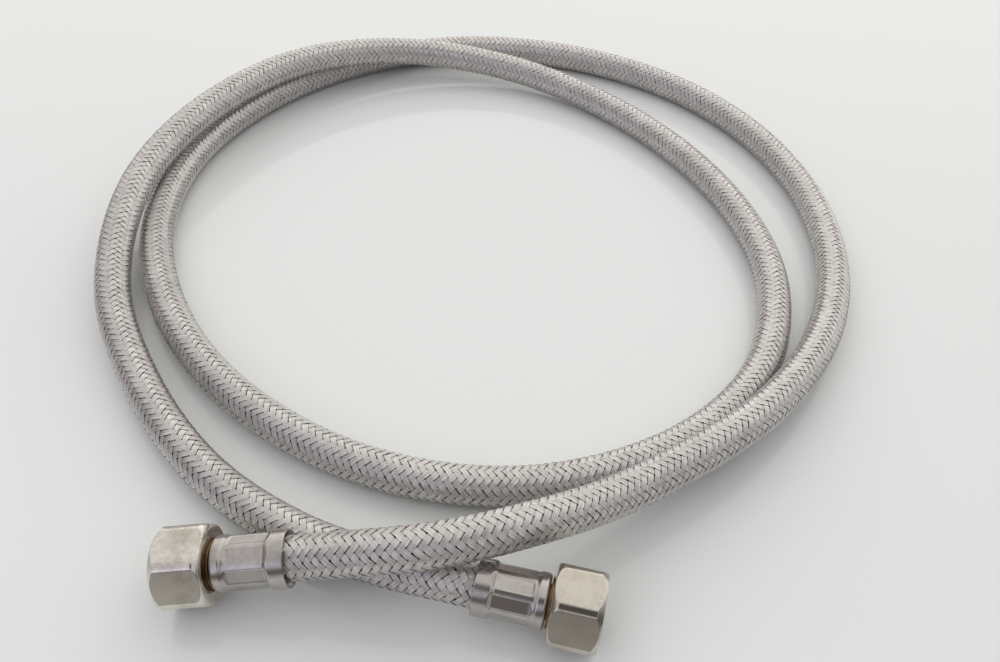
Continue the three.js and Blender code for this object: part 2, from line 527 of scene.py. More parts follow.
@dataclass(frozen=True)
class Metal:
    """A metal finish.

    Attributes:
        name: the material's name.
        light: colour of the clean metal.
        dark: colour where it is tarnished.
        smooth: roughness of the clean metal.
        dull: roughness where it is tarnished.
        grain: depth of the turned or drawn lines.
        lines: how many of these lines a unit of the map has.
        drift: how soon a line changes along its run.
        pits: share of the surface with pits.
        pit_depth: depth of the pits.
        pitted_turns: the stretch round the piece, in turns from its top, that the pits and their painted
            glints keep to.
        glint: colour of the painted glints, bright specks painted in the pits in place of sparkle.
    """

    name: str
    light: tuple[float, float, float, float]
    dark: tuple[float, float, float, float]
    smooth: float
    dull: float
    grain: float = 0.004 * MM
    lines: float = 4000.0
    drift: float = 6.0
    pits: float = 0.0
    pit_depth: float = 0.02 * MM
    pitted_turns: tuple[float, float] | None = None
    # Near-white colour of the painted glints in the pits.
    glint: tuple[float, float, float, float] = colour(0.95, 0.93, 0.89)

    def build(self, effects: dict[str, Effect]) -> bpy.types.Material:
        """Makes the material.

        Args:
            effects: the shared shader groups, by name.

        Returns:
            The material.
        """
        material, graph, shader = empty_material(self.name)
        place = graph.add("ShaderNodeTexCoord").outputs["Object"]
        turned = graph.add("ShaderNodeUVMap", uv_map="Turned").outputs[0]
        tone = effects["mottle"].use(graph, {"Place": place})["Tone"]
        grain = {"Place": turned, "Lines": self.lines, "Drift": self.drift}
        lines = effects["grain"].use(graph, grain)["Height"]
        shade = graph.blend(graph.spread(tone, 0.35, 1.0), self.light, self.dark)
        rough = graph.spread(tone, 0.0, 1.0, self.smooth, self.dull)
        height = graph.maths("MULTIPLY", lines, self.grain)
        if self.pits > 0.0:
            pitting = effects["pits"].use(graph, {"Place": place, "Amount": self.pits})
            deep, glinting = pitting["Depth"], pitting["Glint"]
            if self.pitted_turns:
                keep = self._stretch(graph, turned)
                deep = graph.maths("MULTIPLY", deep, keep)
                glinting = graph.maths("MULTIPLY", glinting, keep)
            height = graph.maths("MULTIPLY_ADD", deep, -self.pit_depth, height)
            # Painted glint: bright specks in the pits are blended towards a near-white colour, standing
            # in for sparkle.
            shade = graph.blend(graph.maths("MULTIPLY", glinting, 0.75), shade, self.glint)
            rough_in_pits = 0.12
            rough = graph.maths("MULTIPLY_ADD", deep, rough_in_pits, rough)
        bump = graph.add("ShaderNodeBump", {"Strength": 1.0, "Distance": 1.0, "Height": height})
        graph.tree.links.new(shade, shader.inputs["Base Color"])
        graph.tree.links.new(rough, shader.inputs["Roughness"])
        graph.tree.links.new(bump.outputs[0], shader.inputs["Normal"])
        shader.inputs["Metallic"].default_value = 1.0
        return material

    def _stretch(self, graph: Graph, turned: bpy.types.NodeSocket) -> bpy.types.NodeSocket:
        """Keeps the pits and their painted glints to their stretch.

        Args:
            graph: the material's tree.
            turned: the map of turns round the piece.

        Returns:
            A mask that is 1 within the stretch and nearly 0 beside it.
        """
        fade, beside = 0.012, 0.06
        low, high = self.pitted_turns
        turn = graph.add("ShaderNodeSeparateXYZ", {"Vector": turned}).outputs[0]
        away = graph.maths("ABSOLUTE", graph.maths("SUBTRACT", turn, (low + high) / 2))
        half = (high - low) / 2
        return graph.spread(away, half - fade, half + fade, 1.0, beside)


@dataclass(frozen=True)
class WovenWire:
    """The finish of the woven bands: each is a row of fine bright wires laid side by side.

    Attributes:
        name: the material's name.
        wires: how many wires a band has.
        bright: colour of a clean wire.
        dull: colour of a dull one.
        shade_and_grime: colour painted deep in the weave and in the slits beside a band: painted shade,
            with some grime.
        wire_depth: height of a wire's round back over its sides.
    """

    name: str = "braid"
    wires: int = 9
    bright: tuple[float, float, float, float] = colour(0.82, 0.785, 0.76)
    dull: tuple[float, float, float, float] = colour(0.42, 0.40, 0.39)
    # Near-black colour of the painted shade, with some grime, in the slits and under the crossing bands.
    shade_and_grime: tuple[float, float, float, float] = colour(0.10, 0.095, 0.09)
    wire_depth: float = 0.12 * MM

    def build(self, effects: dict[str, Effect]) -> bpy.types.Material:
        """Makes the material.

        Args:
            effects: the shared shader groups, by name.

        Returns:
            The material.
        """
        material, graph, shader = empty_material(self.name)
        lay = graph.add("ShaderNodeUVMap", uv_map="Lay").outputs[0]
        place = graph.add("ShaderNodeTexCoord").outputs["Object"]
        parts = graph.add("ShaderNodeSeparateXYZ", {"Vector": lay})
        across, along = parts.outputs[0], parts.outputs[1]
        count = graph.maths("MULTIPLY", across, float(self.wires))
        inside = graph.maths("SUBTRACT", graph.maths("FRACT", count), 0.5)
        round_back = graph.maths("SUBTRACT", 0.26, graph.maths("MULTIPLY", inside, inside))
        crown = graph.maths("SQRT", graph.maths("MAXIMUM", 0.0, round_back))
        number = graph.maths("FLOOR", count)
        run = graph.add("ShaderNodeCombineXYZ", {"X": graph.maths("MULTIPLY", number, 3.7),
                                                 "Y": graph.maths("MULTIPLY", along, 0.11)})
        wander = graph.noise(run.outputs[0], 1.0, 3.0)
        clouds = {"Place": place, "Cloud size": 60.0, "Blotch size": 420.0}
        tone = effects["mottle"].use(graph, clouds)["Tone"]
        edge = graph.maths("ABSOLUTE", graph.maths("SUBTRACT", across, 0.5))
        # Painted shade with some grime: the slits at a band's sides and the parts of bands that lie
        # underneath are darkened towards a near-black colour.
        depth = graph.add("ShaderNodeAttribute", attribute_name="Depth").outputs["Fac"]
        slit_shade = graph.spread(edge, 0.465, 0.5, 0.0, 0.7)
        under_shade = graph.spread(depth, 0.5, 0.9, 0.0, 0.8)
        hidden = graph.maths("MAXIMUM", slit_shade, under_shade)
        by_wire = graph.spread(wander, 0.38, 0.70)
        mixed = graph.maths("MULTIPLY_ADD", by_wire, 0.65, graph.maths("MULTIPLY", tone, 0.3))
        shade = graph.blend(hidden, graph.blend(mixed, self.bright, self.dull), self.shade_and_grime)
        height = graph.maths("MULTIPLY", crown, self.wire_depth)
        bump = graph.add("ShaderNodeBump", {"Strength": 1.0, "Distance": 1.0, "Height": height})
        graph.tree.links.new(shade, shader.inputs["Base Color"])
        graph.tree.links.new(graph.spread(mixed, 0.0, 1.0, 0.22, 0.40), shader.inputs["Roughness"])
        graph.tree.links.new(bump.outputs[0], shader.inputs["Normal"])
        shader.inputs["Metallic"].default_value = 1.0
        return material


@dataclass(frozen=True)
class Matt:
    """A dull finish for rubber and fibre.

    Attributes:
        name: the material's name.
        base: its colour.
        worn: its colour where it is worn.
        rough: roughness of the unworn surface.
        fleck: how fine its blotches are.
        bump: height of its unevenness.
    """

    name: str
    base: tuple[float, float, float, float]
    worn: tuple[float, float, float, float]
    rough: float = 0.75
    fleck: float = 2600.0
    bump: float = 0.02 * MM

    def build(self, effects: dict[str, Effect]) -> bpy.types.Material:
        """Makes the material.

        Args:
            effects: the shared shader groups, by name.

        Returns:
            The material.
        """
        material, graph, shader = empty_material(self.name)
        place = graph.add("ShaderNodeTexCoord").outputs["Object"]
        tone = effects["mottle"].use(graph, {"Place": place, "Blotch size": self.fleck})["Tone"]
        height = graph.maths("MULTIPLY", tone, self.bump)
        bump = graph.add("ShaderNodeBump", {"Strength": 1.0, "Distance": 1.0, "Height": height})
        rough = graph.spread(tone, 0.0, 1.0, self.rough, self.rough + 0.12)
        graph.tree.links.new(graph.blend(tone, self.base, self.worn), shader.inputs["Base Color"])
        graph.tree.links.new(rough, shader.inputs["Roughness"])
        graph.tree.links.new(bump.outputs[0], shader.inputs["Normal"])
        return material


def empty_material(name: str) -> tuple[bpy.types.Material, Graph, bpy.types.Node]:
    """A material with only its shader and output.

    Args:
        name: the material's name.

    Returns:
        The material, its tree, and its Principled shader.
    """
    material = bpy.data.materials.new(name)
    material.use_nodes = True
    material.node_tree.nodes.clear()
    graph = Graph(material.node_tree)
    shader = graph.add("ShaderNodeBsdfPrincipled")
    graph.add("ShaderNodeOutputMaterial", {"Surface": shader.outputs[0]})
    return material, graph, shader


@dataclass(frozen=True)
class Corner:
    """A corner of a turned section: its radius, its place along the fitting, and its rounding."""

    radius: float
    place: float
    round: float = 0.0


def rounded(corners: Sequence[Corner], steps: int = 5) -> list[tuple[float, float]]:
    """The closed section with its corners rounded.

    Args:
        corners: the section's corners in order.
        steps: pieces of each rounding.

    Returns:
        Points as radius and place.
    """
    points: list[tuple[float, float]] = []
    for index, corner in enumerate(corners):
        here = Vector((corner.radius, corner.place))
        if corner.round <= 0.0:
            points.append((here.x, here.y))
            continue
        before = corners[index - 1]
        after = corners[(index + 1) % len(corners)]
        back = (Vector((before.radius, before.place)) - here).normalized()
        ahead = (Vector((after.radius, after.place)) - here).normalized()
        half = back.angle(ahead) / 2
        reach = corner.round / math.tan(half)
        centre = here + (back + ahead).normalized() * (corner.round / math.sin(half))
        first, last = here + back * reach - centre, here + ahead * reach - centre
        sweep = first.angle_signed(last)
        for step in range(steps + 1):
            turned = Matrix.Rotation(-sweep * step / steps, 2) @ first
            points.append((centre.x + turned.x, centre.y + turned.y))
    return points


@dataclass
class TurnedPiece:
    """A piece turned about its fitting's axis. Its own Y runs outwards and its Z is upright."""

    sizes: HoseSizes
    segments: int = 96

    def section(self) -> list[tuple[float, float]]:
        """The section to turn, as radius and place."""
        raise NotImplementedError

    def spin(self) -> bmesh.types.BMesh:
        """Turns the section about the fitting's axis.

        Returns:
            The closed ring.
        """
        mesh = bmesh.new()
        corners = [mesh.verts.new((0.0, place, radius)) for radius, place in self.section()]
        edges = [mesh.edges.new((corners[i - 1], corners[i])) for i in range(len(corners))]
        bmesh.ops.spin(mesh, geom=corners + edges, cent=(0, 0, 0), axis=(0, 1, 0), angle=FULL_TURN,
                       steps=self.segments, use_merge=True, use_duplicate=False)
        bmesh.ops.remove_doubles(mesh, verts=mesh.verts, dist=0.0001 * MM)
        bmesh.ops.recalc_face_normals(mesh, faces=mesh.faces)
        return mesh

    def shape(self, mesh: bmesh.types.BMesh) -> None:
        """Cuts or presses the turned ring. A plain turned piece needs none of it."""

    def build(self, name: str, seat: Matrix, sharp: float = 35.0) -> bpy.types.Object:
        """Makes the piece where its fitting lies.

        Args:
            name: the piece's name.
            seat: places the fitting's own frame in the part's.
            sharp: the angle in degrees past which an edge stays sharp.

        Returns:
            The finished object.
        """
        mesh = self.spin()
        self.shape(mesh)
        data = bpy.data.meshes.new(name)
        mesh.to_mesh(data)
        mesh.free()
        map_turned(data)
        data.transform(seat)
        return shown(name, data, sharp)


def map_turned(data: bpy.types.Mesh) -> None:
    """Gives a turned mesh a map of turns from its top and metres along its axis.

    Args:
        data: the mesh, in its fitting's own frame.
    """
    layer = data.uv_layers.new(name="Turned")
    points = np.empty(len(data.vertices) * 3)
    data.vertices.foreach_get("co", points)
    points = points.reshape(-1, 3)
    corner_points = np.empty(len(data.loops), dtype=np.int32)
    data.loops.foreach_get("vertex_index", corner_points)
    turns = np.arctan2(points[:, 0], points[:, 2])[corner_points] / FULL_TURN
    starts = np.empty(len(data.polygons), dtype=np.int32)
    totals = np.empty(len(data.polygons), dtype=np.int32)
    data.polygons.foreach_get("loop_start", starts)
    data.polygons.foreach_get("loop_total", totals)
    faces = np.repeat(np.arange(len(starts)), totals)
    low = np.full(len(starts), np.inf)
    np.minimum.at(low, faces, turns)
    high = np.full(len(starts), -np.inf)
    np.maximum.at(high, faces, turns)
    split = (high - low)[faces] > 0.5
    turns = np.where(split & (turns < 0.0), turns + 1.0, turns)
    values = np.empty((len(data.loops), 2))
    values[:, 0] = turns
    values[:, 1] = points[corner_points, 1]
    layer.data.foreach_set("uv", values.ravel())


def shown(name: str, data: bpy.types.Mesh, sharp: float) -> bpy.types.Object:
    """Puts a mesh in the scene with smooth faces and clean highlights on its edges.

    Args:
        name: the piece's name.
        data: its mesh.
        sharp: the angle in degrees past which an edge stays sharp.

    Returns:
        The object.
    """
    piece = bpy.data.objects.new(name, data)
    bpy.context.scene.collection.objects.link(piece)
    data.shade_smooth()
    data.set_sharp_from_angle(angle=math.radians(sharp))
    weighted = piece.modifiers.new("Face weight", "WEIGHTED_NORMAL")
    weighted.keep_sharp = True
    weighted.weight = 90
    return piece


@dataclass
class Ferrule(TurnedPiece):
    """The pressed steel sleeve: flared mouth, collar, a waist of eight panels, rounded nose."""

    segments: int = 320
    panel_turn: float = 0.0
    panels: int = 8
    collar_length: float = 5.2 * MM
    collar_rise: float = 0.6 * MM
    nose_length: float = 3.0 * MM
    nose_rise: float = 0.4 * MM
    nose_round: float = 1.1 * MM
    nose_hole: float = 5.7 * MM
    hole_round: float = 0.2 * MM
    lip: float = 0.5 * MM
    lip_round: float = 0.12 * MM
    rim_round: float = 0.24 * MM
    mouth_depth: float = 3.0 * MM
    mouth_round: float = 2.0 * MM
    step_run: float = 0.8 * MM
    step_round: float = 1.6 * MM
    panel_depth: float = 0.35 * MM
    from_collar: float = 0.7 * MM
    from_nose: float = 2.0 * MM
    rear_slope: float = 1.4
    nose_slope: float = 2.4
    kerb: float = 0.13 * MM
    kerb_run: float = 0.2 * MM
    softness: float = 0.02 * MM
    row: float = 0.24 * MM
    skin: float = 0.4 * MM

    @property
    def outside(self) -> float:
        """Radius past which the sleeve's surface is its outside."""
        return self.sizes.ferrule_bore + self.skin

    def section(self) -> list[tuple[float, float]]:
        """The sleeve's wall, finely divided along the outside.

        Returns:
            Points as radius and place.
        """
        sizes = self.sizes
        collar = sizes.waist + self.collar_rise
        nose = sizes.waist + self.nose_rise
        length = sizes.ferrule_length
        outline = rounded([
            Corner(collar - self.lip, 0.0, self.lip_round),
            Corner(sizes.ferrule_bore, self.mouth_depth, self.mouth_round),
            Corner(sizes.ferrule_bore, sizes.flange_inside),
            Corner(self.nose_hole, sizes.flange_inside),
            Corner(self.nose_hole, length, self.hole_round),
            Corner(nose, length, self.nose_round),
            Corner(nose, length - self.nose_length, self.step_round),
            Corner(sizes.waist, length - self.nose_length - self.step_run, self.step_round),
            Corner(sizes.waist, self.collar_length + self.step_run, self.step_round),
            Corner(collar, self.collar_length, self.step_round),
            Corner(collar, 0.0, self.rim_round),
        ])
        return self._divided(outline)

    def _divided(self, outline: list[tuple[float, float]]) -> list[tuple[float, float]]:
        """Adds rows along the outline's outside, close enough for the pressing.

        Args:
            outline: the section's points.

        Returns:
            The points with the added ones among them.
        """
        points: list[tuple[float, float]] = []
        for index, here in enumerate(outline):
            there = outline[(index + 1) % len(outline)]
            run = math.dist(here, there)
            outside = min(here[0], there[0]) > self.outside
            parts = max(1, math.ceil(run / self.row)) if outside else 1
            points += [(here[0] + (there[0] - here[0]) * part / parts,
                        here[1] + (there[1] - here[1]) * part / parts) for part in range(parts)]
        return points

    def shape(self, mesh: bmesh.types.BMesh) -> None:
        """Presses the panels into the outside of the sleeve.

        Args:
            mesh: the turned ring.
        """
        floor = self.sizes.waist - self.panel_depth
        rear = self.collar_length + self.from_collar
        front = self.sizes.ferrule_length - self.nose_length - self.from_nose
        step = FULL_TURN / self.panels
        half = math.sqrt(self.sizes.waist**2 - floor**2) - self.kerb_run / 2
        for vert in mesh.verts:
            radius = math.hypot(vert.co.x, vert.co.z)
            if radius < self.outside:
                continue
            turn = math.atan2(vert.co.x, vert.co.z) - self.panel_turn
            off = (turn + step / 2) % step - step / 2
            rise = max((rear - vert.co.y) / self.rear_slope, (vert.co.y - front) / self.nose_slope, 0.0)
            pressed = (floor + rise) / math.cos(off)
            inside = (half - abs(math.tan(off)) * floor) / self.kerb_run
            pressed -= self.kerb * min(1.0, max(0.0, inside)) * max(0.0, 1.0 - rise / self.kerb_run)
            gap = radius - pressed
            if gap > -4 * self.softness:
                sunk = gap / 2 + math.sqrt(gap * gap / 4 + self.softness**2) - self.softness / 2
                share = (radius - sunk) / radius
                vert.co.x *= share
                vert.co.z *= share


@dataclass
class Nipple(TurnedPiece):
    """The brass insert: barbed tail, ring, neck and flat head."""

    barbs: int = 4
    tail_inset: float = 1.5 * MM
    barb: float = 4.265 * MM
    barb_depth: float = 0.3 * MM
    stem: float = 5.4 * MM
    ring_rise: float = 0.35 * MM
    tail_round: float = 0.2 * MM
    bore_round: float = 0.35 * MM
    head_round: float = 0.3 * MM
    ring_front_round: float = 0.15 * MM
    ring_rear_round: float = 0.2 * MM

    def section(self) -> list[tuple[float, float]]:
        """The nipple's wall, from its bore round its head, ring and barbs.

        Returns:
            Points as radius and place.
        """
        sizes = self.sizes
        bore = sizes.water_bore / 2
        ring = sizes.neck + self.ring_rise
        pitch = (sizes.flange_inside - self.tail_inset) / self.barbs
        corners = [
            Corner(bore, self.tail_inset, self.tail_round),
            Corner(bore, sizes.head_end, self.bore_round),
            Corner(sizes.head, sizes.head_end, self.head_round),
            Corner(sizes.head, sizes.head_start, self.head_round),
            Corner(sizes.neck, sizes.head_start),
            Corner(sizes.neck, sizes.ring_end),
            Corner(ring, sizes.ring_end, self.ring_front_round),
            Corner(ring, sizes.ring_start, self.ring_rear_round),
            Corner(self.stem, sizes.ring_start),
            Corner(self.stem, sizes.flange_inside),
        ]
        for barb in range(self.barbs):
            corners.append(Corner(self.barb, sizes.flange_inside - barb * pitch))
            corners.append(Corner(self.barb - self.barb_depth, sizes.flange_inside - (barb + 1) * pitch))
        return rounded(corners)


@dataclass
class Gasket(TurnedPiece):
    """The flat gasket that lies in the nut against the nipple's head."""

    edge: float = 0.3 * MM

    def section(self) -> list[tuple[float, float]]:
        """The gasket's section with softly pressed edges.

        Returns:
            Points as radius and place.
        """
        sizes = self.sizes
        start = sizes.head_end + sizes.seat_gap
        end = start + sizes.gasket_thickness
        bore = sizes.gasket_bore / 2
        corners = ((bore, start), (bore, end), (sizes.head, end), (sizes.head, start))
        return rounded([Corner(radius, place, self.edge) for radius, place in corners])


@dataclass
class UnionNut(TurnedPiece):
    """The hexagonal nut with turned ends, a web behind and a threaded socket in front."""

    segments: int = 168
    corner_trim: float = 0.65 * MM
    rear_round: float = 2.5 * MM
    front_drop: float = 1.5 * MM
    front_run: float = 1.9 * MM
    mouth_margin: float = 0.3 * MM
    mouth_run: float = 0.9 * MM
    web_round: float = 0.3 * MM
    shoulder_round: float = 0.2 * MM
    socket_round: float = 0.4 * MM
    mouth_round: float = 0.12 * MM
    rim_round: float = 0.15 * MM
    front_round: float = 0.25 * MM
    thread_seat: float = 0.04 * MM
    thread_end: float = 0.5 * MM
    thread_foot: float = 0.44
    thread_top: float = 0.07
    thread_steps: int = 72
    thread_sharp: float = 25.0
    run_out_start: float = 0.15
    relief: float = 2.2 * MM
    edge_width: float = 0.16 * MM
    edge_fall: float = 0.05 * MM

    @property
    def corner(self) -> float:
        """Radius that the hexagon's corners are turned to."""
        return self.sizes.across_flats / math.sqrt(3) - self.corner_trim

    def section(self) -> list[tuple[float, float]]:
        """The nut's wall before its flats are cut.

        Returns:
            Points as radius and place.
        """
        sizes = self.sizes
        root = sizes.thread_diameter / 2
        mouth = root + self.mouth_margin
        web = sizes.neck + sizes.seat_gap
        return rounded([
            Corner(web, sizes.nut_rear, self.web_round),
            Corner(web, sizes.nut_shoulder, self.shoulder_round),
            Corner(root, sizes.nut_shoulder, self.socket_round),
            Corner(root, sizes.nut_front - self.mouth_run),
            Corner(mouth, sizes.nut_front, self.mouth_round),
            Corner(self.corner - self.front_drop, sizes.nut_front, self.rim_round),
            Corner(self.corner, sizes.nut_front - self.front_run, self.front_round),
            Corner(self.corner, sizes.nut_rear, self.rear_round),
        ], steps=8)

    def shape(self, mesh: bmesh.types.BMesh) -> None:
        """Cuts the six flats and softens their edges.

        Args:
            mesh: the turned ring.
        """
        flats = []
        for side in range(6):
            turn = side * FULL_TURN / 6
            facing = Vector((math.sin(turn), 0.0, math.cos(turn)))
            cut = bmesh.ops.bisect_plane(
                mesh, geom=mesh.verts[:] + mesh.edges[:] + mesh.faces[:], dist=0.01 * MM,
                plane_co=facing * (self.sizes.across_flats / 2), plane_no=facing, clear_outer=True)
            rim = [part for part in cut["geom_cut"] if isinstance(part, bmesh.types.BMEdge)]
            filled = bmesh.ops.contextual_create(mesh, geom=rim)
            flats += filled["faces"]
        bmesh.ops.recalc_face_normals(mesh, faces=mesh.faces)
        bmesh.ops.inset_individual(mesh, faces=flats, thickness=self.edge_width, depth=0.0,
                                   use_even_offset=True)
        inner = {vert for flat in flats for vert in flat.verts}
        rims = {vert for flat in flats for edge in flat.edges for face in edge.link_faces
                for vert in face.verts} - inner
        for vert in rims:
            radius = math.hypot(vert.co.x, vert.co.z)
            share = (radius - self.edge_fall) / radius
            vert.co.x *= share
            vert.co.z *= share

    def build_thread(self, name: str, seat: Matrix) -> bpy.types.Object:
        """Makes the thread as one closed ridge that winds along the socket's wall.

        Args:
            name: the piece's name.
            seat: places the fitting's own frame in the part's.

        Returns:
            The finished object.
        """
        sizes = self.sizes
        root = sizes.thread_diameter / 2 + self.thread_seat
        crest = sizes.thread_diameter / 2 - sizes.thread_depth
        foot, top = self.thread_foot * sizes.thread_pitch, self.thread_top * sizes.thread_pitch
        first = sizes.nut_shoulder + self.relief
        last = sizes.nut_front - self.thread_end
        turns = (last - first) / sizes.thread_pitch
        steps = round(turns * self.thread_steps)
        mesh = bmesh.new()
        ring = [mesh.verts.new((0.0, first + place, radius)) for place, radius in
                ((-foot, root), (-top, crest), (top, crest), (foot, root))]
        face = mesh.faces.new(ring)
        rise = Vector((0.0, (last - first) / steps, 0.0))
        bmesh.ops.spin(mesh, geom=[face], cent=(0, 0, 0), axis=(0, 1, 0), dvec=rise,
                       angle=FULL_TURN * turns, steps=steps, use_duplicate=False)
        self._run_out(mesh, crest, root, first, last)
        bmesh.ops.recalc_face_normals(mesh, faces=mesh.faces)
        data = bpy.data.meshes.new(name)
        mesh.to_mesh(data)
        mesh.free()
        map_turned(data)
        data.transform(seat)
        return shown(name, data, self.thread_sharp)

    def _run_out(self, mesh: bmesh.types.BMesh, crest: float, root: float,
                 first: float, last: float) -> None:
        """Lets the ridge sink into the wall at its first and last half turn.

        Args:
            mesh: the ridge.
            crest: its inner radius.
            root: its outer radius, in the wall.
            first: where it begins along the axis.
            last: where it ends.
        """
        half = self.sizes.thread_pitch / 2
        for vert in mesh.verts:
            radius = math.hypot(vert.co.x, vert.co.z)
            if radius > (crest + root) / 2:
                continue
            end = min(vert.co.y - first, last - vert.co.y)
            share = min(1.0, max(0.0, end / half + self.run_out_start))
            wanted = root + (crest - root) * share
            vert.co.x *= wanted / radius
            vert.co.z *= wanted / radius


@dataclass
class Fitting:
    """One end of the hose: ferrule, nipple, gasket and union nut on one axis."""

    end: str
    mouth: np.ndarray
    axis: np.ndarray
    panel_turn: float
    sizes: HoseSizes
    nut_finish: str

    @property
    def seat(self) -> Matrix:
        """Places the fitting's own frame in the part's, with a flat of the nut facing down.

        Returns:
            The placing matrix.
        """
        axis = Vector(self.axis)
        side = axis.cross(Vector((0.0, 0.0, 1.0))).normalized()
        up = side.cross(axis)
        turn = Matrix((side, axis, up)).transposed().to_4x4()
        return Matrix.Translation(Vector(self.mouth)) @ turn

    def build(self, finishes: dict[str, bpy.types.Material]) -> list[bpy.types.Object]:
        """Makes all of the end's pieces.

        Args:
            finishes: the materials, by name.

        Returns:
            The pieces.
        """
        end, seat = self.end, self.seat
        nut = UnionNut(self.sizes)
        ferrule = Ferrule(self.sizes, panel_turn=self.panel_turn)
        pressed = ferrule.build(f"{end}_ferrule_pressed", seat, 60.0)
        nipple = Nipple(self.sizes).build(f"{end}_nipple_turned", seat)
        gasket = Gasket(self.sizes).build(f"{end}_gasket_ring", seat)
        made = [
            (pressed, "ferrule", "steel", "steel"),
            (nipple, "nipple", "brass", "brass"),
            (gasket, "gasket", "fibre", "fibre"),
            (nut.build(f"{end}_nut_hexagon", seat, 30.0), "nut", "nickel", self.nut_finish),
            (nut.build_thread(f"{end}_nut_thread", seat), None, "nickel", "nickel"),
        ]
        pieces = []
        for piece, node, slot, finish in made:
            piece.data.materials.append(finishes[finish])
            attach(piece, f"{end}_nut" if "nut" in piece.name else "hose")
            if node:
                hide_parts(f"{end}_{node}")
            report(piece)
            pieces.append(piece)
        return pieces


